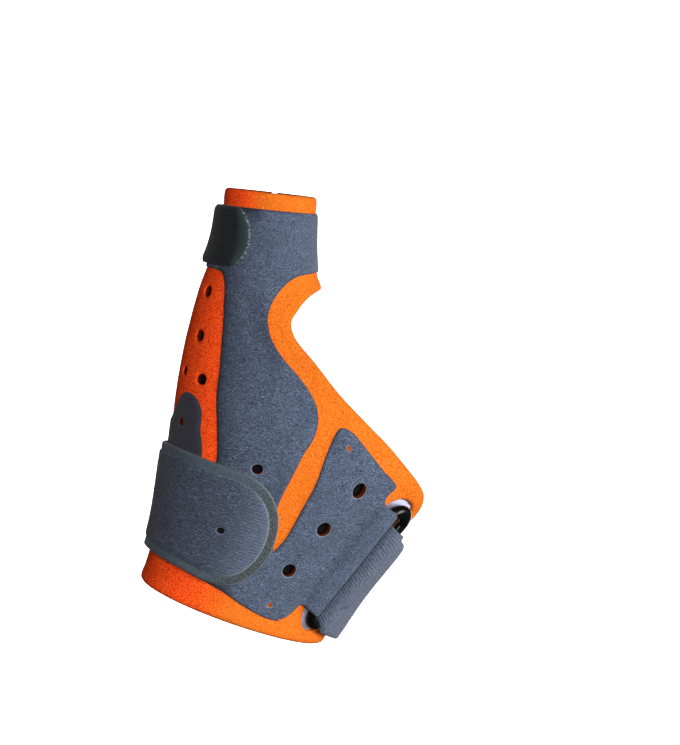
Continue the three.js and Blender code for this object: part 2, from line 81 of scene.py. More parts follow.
RING_LENGTH = 46.0
RING_WIDTH = 10.8
RING_WIRE = 3.0
RING_TURN = 12.0
RING_HEIGHT = RING_LENGTH / 2 + 3
RING_SLANT = -0.5
RING_BRIDGE = 0.9
RING_DEPTH = RING_WIRE / 2 + LINER_WALL * 0.7
WINDOW_MARGIN = 1.7
FELT_MARGIN = 1.2
PAD_MARGIN = 3.0
PAD_TOP = -0.3
PAD_WALL = 0.8
RING_END = 3.6
TONGUE_WIDTH = 38.9
TONGUE_SHIFT = 0.6
BAR = (RING_WIDTH - RING_WIRE) / 2
WRAP_RADIUS = RING_WIRE / 2 + 0.15
WRAP_JOIN = BAR + 4
WRAP_FOLD = 0.8
TONGUE_DEPTH = 3.1
TONGUE_SLOPE = 5.0
STRAP_LIFT = 4.8
STRAP_STAY = 6.0
STRAP_FALL = 14.0

STRAP_WIDTH = 35.5
STRAP_END = 33.0
STRAP_SHIFT = -3.6
STRAP_JOIN_WIDTH = 36.6
STRAP_DROP = 2.7
STRAP_SKIN_GAP = 0.6
THUMB_STRAP_WIDTH = 17.0
THUMB_STRAP_HEIGHT = SPLINT_HEIGHT - 13.5
THUMB_STRAP_START = 106.0
THUMB_STRAP_FINISH = 300.0
THUMB_STRAP_END = 20.0

# The straps' welded border, and stations across a band's join
STRAP_BORDER = 3.0
STATIONS = 52

# Steps between the points of cut edges
FELT_STEP = 0.75
CLOTH_STEP = 0.7
RING_STEP = 0.6

# Width of the rounding along a cut edge, and how far the surface falls there
FELT_ROUNDING = (0.8, 0.5)
VELOUR_ROUNDING = (1.0, 0.33)
STRAP_ROUNDING = (0.7, 0.45)
STRAP_RIM_ROUNDING = (0.7, 0.3)
WRAP_ROUNDING = (2.2, 1.0)
THUMB_STRAP_ROUNDING = (1.6, 0.75)
PAD_ROUNDING = (0.7, 0.4)

# A distance at which no edge is near
FAR = 9.0

# The strap's tail as it comes out under the ring: across and depth
TAIL_PATH = [(6.3, 3.2), (7.6, 3.8), (9.5, 3.95), (15, 3.95)]

# How far a band's lower and upper edges move along the bar on its way round it: run, lower, upper
ROLL_SKEW = [(0, 0, 0), (4.2, -0.2, 1.7), (7, 2.0, 1.9)]
TONGUE_SKEW = [(0, 0, 0), (4.2, 0, 0), (7, 0, -1.2)]

# Turns at which the wrist strap leaves the liner, lies on the skin, and climbs the liner again
STRAP_LEAVES = (-90, -64)
STRAP_CLIMBS = (-46, -24)

# Cross sections of the skin side, with the columns of the CAD source: height, axis, lean, handX,
# handY, wide, deep, thumbX, thumbY, round and blend
SECTIONS = np.array([
    [0, 0, 0, 0, 0, 1, 0.99, -0.158, -0.053, 1.25, 0.71],
    [0.15, 0.008, 1, 0.009, 0, 1.05, 1, -0.211, -0.07, 1.43, 0.8],
    [0.31, 0.017, 4, 0.044, 0.009, 1.21, 1.02, -0.298, -0.088, 1.56, 0.89],
    [0.45, 0.008, 9, 0.114, 0.018, 1.33, 1.02, -0.342, -0.088, 1.61, 0.89],
    [0.56, -0.05, 15, 0.123, 0.018, 1.12, 0.97, -0.298, -0.07, 1.52, 0.89],
    [0.68, -0.14, 20, 0.07, 0.018, 0.74, 0.8, -0.193, -0.035, 1.38, 0.89],
    [0.77, -0.215, 20, 0.009, 0.009, 0.46, 0.62, -0.079, -0.018, 1.25, 0.71],
    [0.86, -0.256, 17, 0, 0, 0.32, 0.45, -0.014, 0, 1.1, 0.54],
    [1, -0.303, 15.8, 0, 0, 0.25, 0.35, 0, 0, 1, 0.36],
])

# Outlines as runs of (turn, share of SPLINT_HEIGHT): a run of more than two points is a smooth curve
LINER_OUTLINE = [
    [(-12, 0), (266, 0)],
    [(267, 0.10), (268, 0.26), (264, 0.36), (256, 0.46), (254, 0.56), (260, 0.67), (SLIT_LEFT, 0.76)],
    [(SLIT_LEFT, 1), (SLIT_RIGHT, 1)],
    [(SLIT_RIGHT, 0.80), (-62, 0.775), (-25, 0.77), (11, 0.772), (42, 0.758), (62, 0.735), (76, 0.708),
     (77, 0.685), (66, 0.636), (55, 0.583), (40, 0.537), (23, 0.493), (9, 0.453), (0, 0.429), (-8, 0.406),
     (-16, 0.365), (-20, 0.30), (-20, 0.18), (-14, 0.04)],
]
SHELL_OUTLINE = [
    [(124, 0.082), (130, 0.20), (131, 0.38), (134, 0.46), (136, 0.547), (135, 0.61), (133, 0.683),
     (130, 0.733), (129, 0.779), (134, 0.803), (150, 0.812)],
    [(258, 0.812), (258, 0.96)],
    [(-74, 0.96), (-74, 0.83)],
    [(-40, 0.822), (0, 0.818), (29, 0.815), (58, 0.803), (82, 0.764), (96, 0.722), (99, 0.685),
     (94, 0.643), (84, 0.603), (77, 0.565), (76, 0.535), (81, 0.492), (90, 0.443), (94, 0.382),
     (95, 0.319), (92, 0.26), (84, 0.203)],
    [(80, 0.242), (78, 0.309), (76, 0.373), (74, 0.443), (67, 0.492), (60, 0.516), (52, 0.512),
     (40, 0.480)],
]
SHELL_OUTLINE_LOW = [
    [(52, 0.043), (65, 0.042), (88, 0.055), (105, 0.072), (124, 0.082)],
]
PALM_OUTLINE = [
    [(138, 0.080), (138, 0.383), (142, 0.449), (143, 0.495), (146, 0.526), (150, 0.539), (154, 0.542),
     (158, 0.530), (162, 0.490), (168, 0.455), (180, 0.435), (215, 0.41), (240, 0.37), (252, 0.33),
     (254, 0.27)],
    [(254, 0.27), (252, 0.08)],
]

# Vent holes as (turn, share of SPLINT_HEIGHT, size as a share of VENT_HOLE)
STRIPE_HOLES = [(149, 0.766, 0.8), (151, 0.679, 0.85), (146, 0.581, 0.95), (160, 0.595, 0.7)]
PALM_HOLES = [(155, 0.453, 0.75)]
SHELL_HOLES = [(113, 0.392, 0.85), (41, 0.398, 1.15), (54, 0.291, 1.15), (65, 0.172, 1.1)]
SNAP_HOLES = [(55, 0.479, 0.65), (67, 0.076, 0.65)]
STRAP_HOLES = [(118 - 360, 0.218, 0.6)]

STRAP_LINE = [(-45, 0.172), (-90, 0.168), (-150, 0.205), (-200, 0.232), (-240, 0.229), (-273, 0.205)]

# The pattern plane that sheets are drawn on: millimetres for one degree of turn
PITCH = 0.42


# The form


def around(count):
    return np.linspace(0, 2 * math.pi, count, endpoint=False)


def eased(x, start, end):
    t = np.clip((np.asarray(x, float) - start) / (end - start), 0, 1)
    return t * t * (3 - 2 * t)


def section_at(height):
    share = np.clip(np.asarray(height, float) / SPLINT_HEIGHT, 0, 1)
    knots = SECTIONS[:, 0]
    steps = np.diff(knots)[:, None]
    slopes = np.diff(SECTIONS, axis=0) / steps
    tangents = np.empty_like(SECTIONS)
    tangents[0], tangents[-1] = slopes[0], slopes[-1]
    tangents[1:-1] = (slopes[:-1] * steps[1:] + slopes[1:] * steps[:-1]) / (steps[1:] + steps[:-1])
    at = np.clip(np.searchsorted(knots, share, side="right") - 1, 0, len(knots) - 2)
    step = steps[at]
    t = ((share - knots[at]) / step[..., 0])[..., None]
    row = ((2 * t**3 - 3 * t**2 + 1) * SECTIONS[at] + (t**3 - 2 * t**2 + t) * step * tangents[at]
           + (3 * t**2 - 2 * t**3) * SECTIONS[at + 1] + (t**3 - t**2) * step * tangents[at + 1])
    return np.moveaxis(row, -1, 0)


def reach(row, turn):
    """Distance from the axis to the skin side: the hand's oval joined softly to the thumb's round."""
    angle = np.radians(turn)
    twist = math.radians(WRIST_TWIST)
    hand_x, hand_y, wide, deep, thumb_x, thumb_y, round_, blend = row[3:]
    wide, deep = wide * WRIST_WIDTH / 2, deep * WRIST_DEPTH / 2
    blend = blend * THUMB_BORE / 2
    low = np.zeros(np.shape(angle))
    high = low + 2 * WRIST_WIDTH
    for _ in range(26):
        r = (low + high) / 2
        x, y = r * np.cos(angle), -r * np.sin(angle)
        hx, hy = x - hand_x * WRIST_WIDTH, y - hand_y * WRIST_WIDTH
        along = hx * math.cos(twist) + hy * math.sin(twist)
        across = hy * math.cos(twist) - hx * math.sin(twist)
        ratio = np.hypot(along / wide, across / deep)
        steep = np.hypot(along / wide**2, across / deep**2) + 1e-9
        hand = ratio * (ratio - 1) / steep
        lobe = np.hypot(x - thumb_x * WRIST_WIDTH, y - thumb_y * WRIST_WIDTH) - round_ * THUMB_BORE / 2
        near = np.maximum(blend - np.abs(hand - lobe), 0) / blend
        inside = np.minimum(hand, lobe) - near * near * blend / 4 < 0
        low, high = np.where(inside, r, low), np.where(inside, high, r)
    return (low + high) / 2


def skin(turn, height):
    turn, height = np.broadcast_arrays(np.asarray(turn, float), np.asarray(height, float))
    row = section_at(height)
    angle, lean = np.radians(turn), np.radians(row[2])
    r = reach(row, turn)
    side = r * np.cos(angle)
    return np.stack([row[1] * SPLINT_HEIGHT + side * np.cos(lean), -r * np.sin(angle),
                     height + side * np.sin(lean)], -1)


def outward(turn, height):
    """Unit normals of the skin side, turned into the plane of the rim near each of the two rims."""
    step = 0.12
    turn, height = np.broadcast_arrays(np.asarray(turn, float), np.asarray(height, float))
    up = skin(turn, np.minimum(height + step, SPLINT_HEIGHT)) - skin(turn, np.maximum(height - step, 0))
    out = np.cross(up, skin(turn + step, height) - skin(turn - step, height))
    out /= np.linalg.norm(out, axis=-1, keepdims=True)
    lean = np.radians(section_at(height)[2])
    axis = np.stack([-np.sin(lean), 0 * lean, np.cos(lean)], -1)
    share = height / SPLINT_HEIGHT
    flat = 1 - eased(np.minimum(share / 0.08, (1 - share) / 0.06), 0, 1)
    out = out - axis * (out * axis).sum(-1, keepdims=True) * flat[..., None]
    return out / np.linalg.norm(out, axis=-1, keepdims=True)


def place(turn, height, depth):
    return skin(turn, height) + outward(turn, height) * np.asarray(depth, float)[..., None]


def degree_length(turn, height):
    """Millimetres round the skin for one degree of turn."""
    return np.linalg.norm(skin(turn + 0.5, height) - skin(turn - 0.5, height), axis=-1)


def ring_frame():
    at = lambda turn, height: place(np.array(turn), np.array(height), np.array(RING_DEPTH))
    round_ = at(RING_TURN + 0.5, RING_HEIGHT) - at(RING_TURN - 0.5, RING_HEIGHT)
    up = at(RING_TURN, RING_HEIGHT + 0.5) - at(RING_TURN, RING_HEIGHT - 0.5)
    bar = up + round_ * RING_SLANT
    lean = round_ @ bar / (bar @ bar)
    across = round_ * (1 - lean * RING_SLANT) - up * lean
    along_length, across_length = np.linalg.norm(bar), np.linalg.norm(across)
    return np.array([[RING_SLANT / along_length, (1 - lean * RING_SLANT) / across_length],
                     [1 / along_length, -lean / across_length]])


RING_AXES = ring_frame()


def on_ring(along, across):
    """Turn and height of a point given along and across the ring's bars, in millimetres."""
    turn = RING_TURN + along * RING_AXES[0, 0] + across * RING_AXES[0, 1]
    height = RING_HEIGHT + along * RING_AXES[1, 0] + across * RING_AXES[1, 1]
    return turn, height


def ring_place(turn, height):
    """Along and across the ring's bars for points of the cuff."""
    back = np.linalg.inv(RING_AXES)
    t, h = turn - RING_TURN, height - RING_HEIGHT
    return back[0, 0] * t + back[0, 1] * h, back[1, 0] * t + back[1, 1] * h


def bridge(along):
    return RING_BRIDGE * (1 - np.minimum(1, (2 * along / RING_LENGTH) ** 2))


# Drawing on the pattern plane


def between(a, b, start, end, t):
    return a * (end - t) / (end - start) + b * (t - start) / (end - start)


def smooth_run(points, spacing):
    """A centripetal Catmull-Rom curve through pattern points, as points about spacing apart."""
    p = np.array(points, float)
    if len(p) > 2:
        ends = np.vstack([2 * p[0] - p[1], p, 2 * p[-1] - p[-2]])
        drawn = []
        for p0, p1, p2, p3 in zip(ends, ends[1:], ends[2:], ends[3:]):
            knots = [0]
            for a, b in ((p0, p1), (p1, p2), (p2, p3)):
                knots.append(knots[-1] + np.linalg.norm(b - a) ** 0.5)
            for t in np.linspace(knots[1], knots[2], 24, endpoint=False):
                row = [p0, p1, p2, p3]
                for spans in (((0, 1), (1, 2), (2, 3)), ((0, 2), (1, 3)), ((1, 2),)):
                    row = [between(a, b, knots[i], knots[j], t) for a, b, (i, j) in zip(row, row[1:], spans)]
                drawn.append(row[0])
        p = np.array(drawn + [p[-1]])
    return respaced(p, spacing)


def respaced(p, spacing):
    lengths = np.r_[0, np.cumsum(np.linalg.norm(np.diff(p, axis=0), axis=1))]
    count = max(1, int(round(lengths[-1] / spacing)))
    at = np.linspace(0, lengths[-1], count + 1)
    return np.stack([np.interp(at, lengths, p[:, 0]), np.interp(at, lengths, p[:, 1])], -1)


def drawn_runs(runs, spacing):
    """Runs of (turn, share) as one polyline of pattern points."""
    points = [[(turn * PITCH, share * SPLINT_HEIGHT) for turn, share in run] for run in runs]
    return joined([smooth_run(run, spacing) for run in points], spacing)


def joined(runs, spacing):
    line = []
    for run in runs:
        if line:
            link = respaced(np.array([line[-1][-1], run[0]]), spacing)
            if len(link) > 2:
                line.append(link[1:-1])
        line.append(run)
    points = np.vstack(line)
    keep = np.r_[True, np.linalg.norm(np.diff(points, axis=0), axis=1) > 0.02]
    return points[keep]


def circle(turn, share, size):
    height = share * SPLINT_HEIGHT
    stretch = PITCH / float(degree_length(np.array(turn), np.array(height)))
    angle = around(28)
    across = turn * PITCH + np.cos(angle) * size / 2 * stretch
    return np.stack([across, height + np.sin(angle) * size / 2], -1)


def closed_loop(loop):
    return np.vstack([loop, loop[:1]])


def rounded_box(half_length, half_width, corner, steps):
    """Points round a box with rounded corners, RING_STEP apart."""
    loop = []
    for end, side, start in ((1, -1, -90), (1, 1, 0), (-1, 1, 90), (-1, -1, 180)):
        for angle in np.radians(np.linspace(start, start + 90, steps)):
            loop.append((end * (half_length - corner) + corner * math.cos(angle),
                         side * (half_width - corner) + corner * math.sin(angle)))
    return respaced(closed_loop(np.array(loop)), RING_STEP)[:-1]


def ring_line(along, across):
    """Pattern points along and across the ring's bars."""
    along = np.asarray(along, float)
    turn, height = on_ring(along, across + 0 * along)
    return np.stack([turn * PITCH, height], -1)


def ring_loop(margin):
    """Pattern points of a rounded box round the ring, margin wider than the ring on every side."""
    half_width = RING_WIDTH / 2 + margin
    loop = rounded_box(RING_LENGTH / 2 + margin, half_width, half_width - 0.4, 24)
    return ring_line(loop[:, 0], loop[:, 1])


def doubled_areas(points, faces):
    a, b, c = (points[faces[:, k]] for k in range(3))
    return (b[:, 0] - a[:, 0]) * (c[:, 1] - a[:, 1]) - (b[:, 1] - a[:, 1]) * (c[:, 0] - a[:, 0])


def inside(points, loop):
    x, y = points[:, 0][:, None], points[:, 1][:, None]
    x0, y0 = loop[:, 0][None], loop[:, 1][None]
    x1, y1 = np.roll(loop[:, 0], -1)[None], np.roll(loop[:, 1], -1)[None]
    crossing = (y0 > y) != (y1 > y)
    at = x0 + (y - y0) * (x1 - x0) / np.where(y1 == y0, 1, y1 - y0)
    return (crossing & (x < at)).sum(1) % 2 == 1


def distance_to(points, lines, metric):
    """Least distance of pattern points to polylines, in millimetres on the cuff."""
    ends = [(line[:-1], line[1:]) for line in lines]
    a, b = np.vstack([e[0] for e in ends]), np.vstack([e[1] for e in ends])
    least = np.empty(len(points))
    for start in range(0, len(points), 2000):
        part = slice(start, start + 2000)
        scale = metric[part][:, None]
        ax = (points[part, 0][:, None] - a[:, 0]) * scale
        ay = points[part, 1][:, None] - a[:, 1]
        dx, dy = (b[:, 0] - a[:, 0]) * scale, (b[:, 1] - a[:, 1]) + 0 * scale
        t = np.clip((ax * dx + ay * dy) / np.maximum(dx * dx + dy * dy, 1e-12), 0, 1)
        least[part] = np.hypot(ax - t * dx, ay - t * dy).min(1)
    return least


class Sheet:
    """A flat cut of cloth on the pattern plane, triangulated with fine rows along its edges.

    free is the part of the outline that is joined to something else: it has no edge of its own.
    edge, border and hole are the distances to any edge, to the outline's, and to the holes', in mm."""

    ROWS = (0.22, 0.5, 0.9, 1.4, 2.1, 3.0)

    def __init__(self, outline, holes=(), windows=(), spacing=1.0, free=None, metric=None):
        self.metric_of = metric or (lambda p: degree_length(p[:, 0] / PITCH, p[:, 1]) / PITCH)
        loops = [np.asarray(outline), *holes, *windows]
        closed = [closed_loop(loop) for loop in loops]
        self.edges = list(closed)
        if free is not None:
            first, last = free
            self.edges[0] = np.vstack([loops[0][last:], loops[0][:first + 1]])
        rows = [self._row(loop, offset) for loop in closed for offset in self.ROWS]
        low, high = loops[0].min(0), loops[0].max(0)
        ys = np.arange(low[1], high[1], spacing * 0.87)
        xs = np.arange(low[0], high[0], spacing)
        grid = [(x + (j % 2) * spacing / 2, y) for j, y in enumerate(ys) for x in xs]
        near = [(p, o) for p, o in rows if len(p)] + [(np.array(grid), self.ROWS[-1] + spacing * 0.6)]
        extra = []
        for points, offset in near:
            points = points[inside(points, loops[0])]
            for hole in loops[1:]:
                points = points[~inside(points, hole)]
            metric = self.metric_of(points)
            away = distance_to(points, closed, metric)
            extra.append(points[away > offset * 0.93])
        points = np.vstack(loops + extra)
        links = []
        start = 0
        for loop in loops:
            count = len(loop)
            links += [(start + i, start + (i + 1) % count) for i in range(count)]
            start += count
        flat = [Vector((float(x), float(y))) for x, y in points]
        verts, _, faces, origins, _, _ = delaunay_2d_cdt(flat, links, [], 1, 1e-5)
        self.points = np.array([tuple(v) for v in verts])
        faces = np.array(faces)
        middle = self.points[faces].mean(1)
        keep = inside(middle, loops[0])
        for hole in loops[1:]:
            keep &= ~inside(middle, hole)
        faces = faces[keep]
        turned = doubled_areas(self.points, faces) < 0
        faces[turned] = faces[turned][:, ::-1]
        self.faces = faces
        self.metric = self.metric_of(self.points)
        self.edge = distance_to(self.points, self.edges, self.metric)
        self.border = distance_to(self.points, self.edges[:1], self.metric)
        vents = self.edges[1:1 + len(holes)]
        self.hole = distance_to(self.points, vents, self.metric) if vents else np.full(len(self.points), FAR)
        self.free_line = None if free is None else loops[0][free[0]:free[1] + 1]

    def _row(self, closed, offset):
        a, b = closed[:-1], closed[1:]
        metric = self.metric_of(a)[:, None]
        d = (b - a) * np.hstack([metric, np.ones_like(metric)])
        d /= np.linalg.norm(d, axis=1, keepdims=True) + 1e-12
        n = np.stack([-d[:, 1] / metric[:, 0], d[:, 0]], -1)
        return np.vstack([(a + b) / 2 + n * offset, (a + b) / 2 - n * offset]), offset

    @property
    def turn(self):
        return self.points[:, 0] / PITCH

    @property
    def height(self):
        return self.points[:, 1]

    def area(self):
        """Area of the cut in square millimetres."""
        areas = np.abs(doubled_areas(self.points, self.faces)) / 2
        return float((areas * self.metric[self.faces].mean(1)).sum())

    def rim(self):
        """Directed edges of the triangles that have no twin, apart from those on the free line."""
        sides = np.vstack([self.faces[:, [0, 1]], self.faces[:, [1, 2]], self.faces[:, [2, 0]]])
        keys = {(int(i), int(j)) for i, j in sides}
        rim = [(i, j) for i, j in keys if (j, i) not in keys]
        if self.free_line is None:
            return rim
        middles = np.array([(self.points[i] + self.points[j]) / 2 for i, j in rim])
        away = distance_to(middles, [self.free_line], np.ones(len(middles)))
        return [side for side, d in zip(rim, away) if d > 0.02]


def noise(points, size, seed):
    """Smooth noise of about -1 to 1 over points of a plane, with features of the given size."""
    random = np.random.default_rng(seed)
    value = np.zeros(len(points))
    for _ in range(14):
        direction = random.uniform(0, 2 * math.pi)
        wave = 2 * math.pi / size * random.uniform(0.6, 1.4)
        value += np.sin(points @ np.array([math.cos(direction), math.sin(direction)]) * wave
                        + random.uniform(0, 2 * math.pi))
    return value / 5


def on_cuff(points, depth):
    return place(points[:, 0] / PITCH, points[:, 1], depth)


def thick_mesh(sheet, inner, outer, position=on_cuff, **marks):
    """Vertices, faces, cloth map and point attributes of a sheet between two depths: edge and hole are
    distances in millimetres, and shade and ribs are shares."""
    count = len(sheet.points)
    verts = np.vstack([position(sheet.points, outer), position(sheet.points, inner)])
    faces = [tuple(f[::-1]) for f in sheet.faces] + [tuple(f + count) for f in sheet.faces]
    faces += [(i, j, j + count, i + count) for i, j in sheet.rim()]
    uv = sheet.points * np.array([np.mean(sheet.metric), 1])
    plain = np.zeros(count)
    marks = dict(edge=sheet.border, hole=sheet.hole, shade=plain, ribs=plain) | marks
    marks = {name: np.r_[plain + value, plain + value] for name, value in marks.items()}
    return verts, faces, np.vstack([uv, uv]), marks


def make_piece(name, parts, material, node):
    """One mesh object of several parts, with a cloth map in centimetres and their point attributes."""
    part_verts, part_faces, part_uv, part_marks = zip(*parts)
    verts = np.vstack(part_verts)
    uv = np.vstack(part_uv) / 10
    faces = []
    start = 0
    for some_verts, some_faces in zip(part_verts, part_faces):
        faces += [tuple(int(i) + start for i in face) for face in some_faces]
        start += len(some_verts)
    shift = np.array([*CUFF_ORIGIN, 0])
    mesh = bpy.data.meshes.new(name)
    mesh.from_pydata(((verts + shift) * MM).tolist(), [], faces)
    for mark in part_marks[0]:
        values = np.concatenate([marks[mark] for marks in part_marks]).astype(np.float32)
        mesh.attributes.new(mark, "FLOAT", "POINT").data.foreach_set("value", values)
    layer = mesh.uv_layers.new(name="cloth")
    corners = np.empty(len(mesh.loops), dtype=np.int32)
    mesh.loops.foreach_get("vertex_index", corners)
    layer.data.foreach_set("uv", uv[corners].astype(np.float32).ravel())
    obj = bpy.data.objects.new(name, mesh)
    bpy.context.scene.collection.objects.link(obj)
    weld(obj)
    mesh.shade_smooth()
    mesh.materials.append(material)
    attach(obj, "root")
    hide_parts(node)
    return obj


def weld(obj):
    """Joins parts along their free ends and turns the faces outwards."""
    work = bmesh.new()
    work.from_mesh(obj.data)
    bmesh.ops.remove_doubles(work, verts=work.verts, dist=1e-6)
    ends = [v for v in work.verts if v.is_boundary]
    bmesh.ops.remove_doubles(work, verts=ends, dist=0.3 * MM)
    bmesh.ops.recalc_face_normals(work, faces=work.faces)
    work.to_mesh(obj.data)
    work.free()


# The pieces


def hole_loops(holes, size):
    return [circle(turn, share, size * scale) for turn, share, scale in holes]


def rounding(edge, width, drop):
    """How far a surface falls towards its cut edge."""
    return drop * (1 - np.clip(edge / width, 0, 1)) ** 2


def finish_sheets(sheets):
    """Works out the flat area, length and width of a piece cut from flat sheets, and keeps none of them."""
    area = sum(sheet.area() for sheet in sheets)
    length = sum(float((np.ptp(sheet.points[:, 0]) * sheet.metric.mean())) for sheet in sheets)
    width = max(float(np.ptp(sheet.points[:, 1])) for sheet in sheets)
    length = max(length, area / width)


def build_liner():
    """The felt cuff, with painted shade on the walls of its vent holes, and a felt disc painted dark as
    shade in each small hole of the shell.
    """
    outline = drawn_runs(LINER_OUTLINE, FELT_STEP)
    window = [ring_loop(FELT_MARGIN)]
    vents = hole_loops(STRIPE_HOLES + PALM_HOLES + SHELL_HOLES, VENT_HOLE)
    felt = Sheet(outline, vents, window, spacing=1.05)
    plump = 0.2 * np.sin(np.pi * np.clip(felt.border / 4, 0, 1))
    outer = LINER_WALL + plump - rounding(felt.edge, *FELT_ROUNDING) + 0.03 * noise(felt.points, 5, 3)
    bare, covered = ([closed_loop(loop) for loop in hole_loops(holes, VENT_HOLE)]
                     for holes in (STRIPE_HOLES, PALM_HOLES + SHELL_HOLES))
    # Painted shade: the walls of the vent holes are painted dark, and round the holes under the shell's
    # holes a little further out
    dark = np.minimum(distance_to(felt.points, covered, felt.metric) / 30,
                      distance_to(felt.points, bare, felt.metric))
    # Painted shade: towards the left, the side away from the key light, the felt takes a deeper red copy of
    # its colours
    painted_shade_side = eased(felt.turn, 88, 128)
    parts = [thick_mesh(felt, LINING_WALL + 0 * outer, outer, hole=dark, shade=painted_shade_side)]
    # Each disc is painted dark as the shade in its small hole
    for turn, share, scale in SNAP_HOLES:
        disc = Sheet(circle(turn, share, SNAP_HOLE * scale + 0.8), spacing=1.0)
        level = LINER_WALL + 0 * disc.edge
        parts.append(thick_mesh(disc, level - 0.3, level + 0.28, hole=0.02))
    piece = make_piece("liner_felt", parts, felt_material(), "liner")
    finish_sheets([felt])


def build_lining():
    """The dark lining inside the felt, which closes the vent holes."""
    sheet = Sheet(drawn_runs(LINER_OUTLINE, FELT_STEP), (), [ring_loop(WINDOW_MARGIN)], spacing=1.6)
    outer = LINING_WALL - 0.02 + 0 * sheet.edge
    part = thick_mesh(sheet, 0 * outer, outer)
    piece = make_piece("liner_lining", [part], lining_material(), "liner")
    finish_sheets([sheet])


def wrap_path(start, tail):
    """Across and depth of the inner side of a band that comes off the cuff at the depth start, goes
    over a bar and back under it. With a tail it comes out again between the cuff and itself."""
    path = [(WRAP_JOIN, start), (WRAP_JOIN - 0.5, start + (4.9 - start) / 7)]
    for degrees in np.linspace(68, 335 if tail else 270, 34):
        angle = math.radians(degrees)
        path.append((BAR + WRAP_RADIUS * math.cos(angle), RING_DEPTH + WRAP_RADIUS * math.sin(angle)))
    if tail:
        path += [tuple(p) for p in smooth_run([path[-1], *TAIL_PATH], 0.2)[1:]]
    else:
        path.append((BAR + RING_WIRE / 2 + WRAP_FOLD, RING_DEPTH - WRAP_RADIUS))
    return respaced(np.array(path), 0.12)


def wrap_part(side, start, width, middle, profile, skew, holes=(), tail=False):
    """The band over one bar of the ring. side is +1 for the bar next to the shell and -1 for the bar
    next to the strap, middle is the place of its centre line along the bar, and profile gives the
    depths of its two faces from the distance to its cut edge."""
    runs, lower_moves, upper_moves = zip(*skew)
    path = wrap_path(start, tail)
    run = np.r_[0, np.cumsum(np.linalg.norm(np.diff(path, axis=0), axis=1))]
    tangent = np.gradient(path, axis=0)
    kernel = np.ones(7) / 7
    columns = [np.convolve(np.pad(column, 3, mode="edge"), kernel, "valid") for column in tangent.T]
    tangent = np.stack(columns, -1)
    normal = np.stack([tangent[:, 1], -tangent[:, 0]], -1)
    normal /= np.linalg.norm(normal, axis=1, keepdims=True)
    turned = eased(run, 0, 1.5)[:, None]
    normal = normal * turned + np.array([0, 1]) * (1 - turned)
    half = width / 2
    length = run[-1]

    def position(points, depth):
        s = points[:, 0]
        share = 0.5 + points[:, 1] / width
        a = points[:, 1] + middle
        a = a + (1 - share) * np.interp(s, runs, lower_moves) + share * np.interp(s, runs, upper_moves)
        across, height = (np.interp(s, run, path[:, k]) + np.interp(s, run, normal[:, k]) * depth
                          for k in (0, 1))
        turn, up = on_ring(a, side * across)
        return place(turn, up, height + bridge(a))

    free = np.stack([np.zeros(STATIONS), np.linspace(half, -half, STATIONS)], -1)
    corners = [(0, -half), (length, -half), (length, half), (0, half)]
    sides = [respaced(np.array(ends), CLOTH_STEP)[1:] for ends in zip(corners, corners[1:])]
    outline = np.vstack([free, *sides])[:-1]
    sheet = Sheet(outline, holes, spacing=0.7, free=(0, STATIONS - 1), metric=lambda p: np.ones(len(p)))
    inner, outer = profile(sheet.points, sheet.edge)
    if tail:
        thinner = eased(sheet.points[:, 0], length - 14, length - 9)
        outer = outer * (1 - thinner * (1 - TAIL_WALL / STRAP_WALL))
    ribs = eased(sheet.points[:, 0], 3.6, 6.5) * (side < 0)
    # shade marks the strap's roll, whose velour the strap's material paints paler as light
    part = thick_mesh(sheet, inner, outer, position, edge=FAR, ribs=ribs, shade=float(side < 0))
    return sheet, part


def velour_faces(points, edge):
    return 0 * edge, VELOUR_WALL - rounding(edge, *VELOUR_ROUNDING) + 0.02 * noise(points, 4, 5)


def shell_outline():
    """The shell's outline with the tongue that goes to the ring, and where the tongue's end begins."""
    half = TONGUE_WIDTH / 2
    end = RING_LENGTH / 2

    def beside(along, beyond):
        return smooth_run(ring_line(along, WRAP_JOIN + np.array(beyond)), RING_STEP)

    upper = drawn_runs(SHELL_OUTLINE, CLOTH_STEP)
    corner = beside([end + 4, end + 3.3, end + 2.4, end + 1.4], [6.6, 2.6, 0.6, 0.7])
    top, bottom = half + TONGUE_SHIFT, -half + TONGUE_SHIFT
    notch = beside([end + 0.4, top + 1.4, top + 0.5, top], [1.2, 1.5, 1.0, 0])
    free = ring_line(np.linspace(top, bottom, STATIONS), WRAP_JOIN)
    low_notch = beside([bottom, bottom, bottom - 1.0], [0.6, 2.2, 3.4])
    low_corner = beside([-end - 0.6, -end - 2.6, -end - 4.0, -end - 5.0], [4.2, 5.4, 6.6, 8.4])
    lower = drawn_runs(SHELL_OUTLINE_LOW, CLOTH_STEP)
    outline = joined([upper, corner, notch[:-1], free, low_notch, low_corner, lower], CLOTH_STEP)
    first, last = (int(np.argmin(np.linalg.norm(outline - p, axis=1))) for p in (free[0], free[-1]))
    return outline, (first, last)


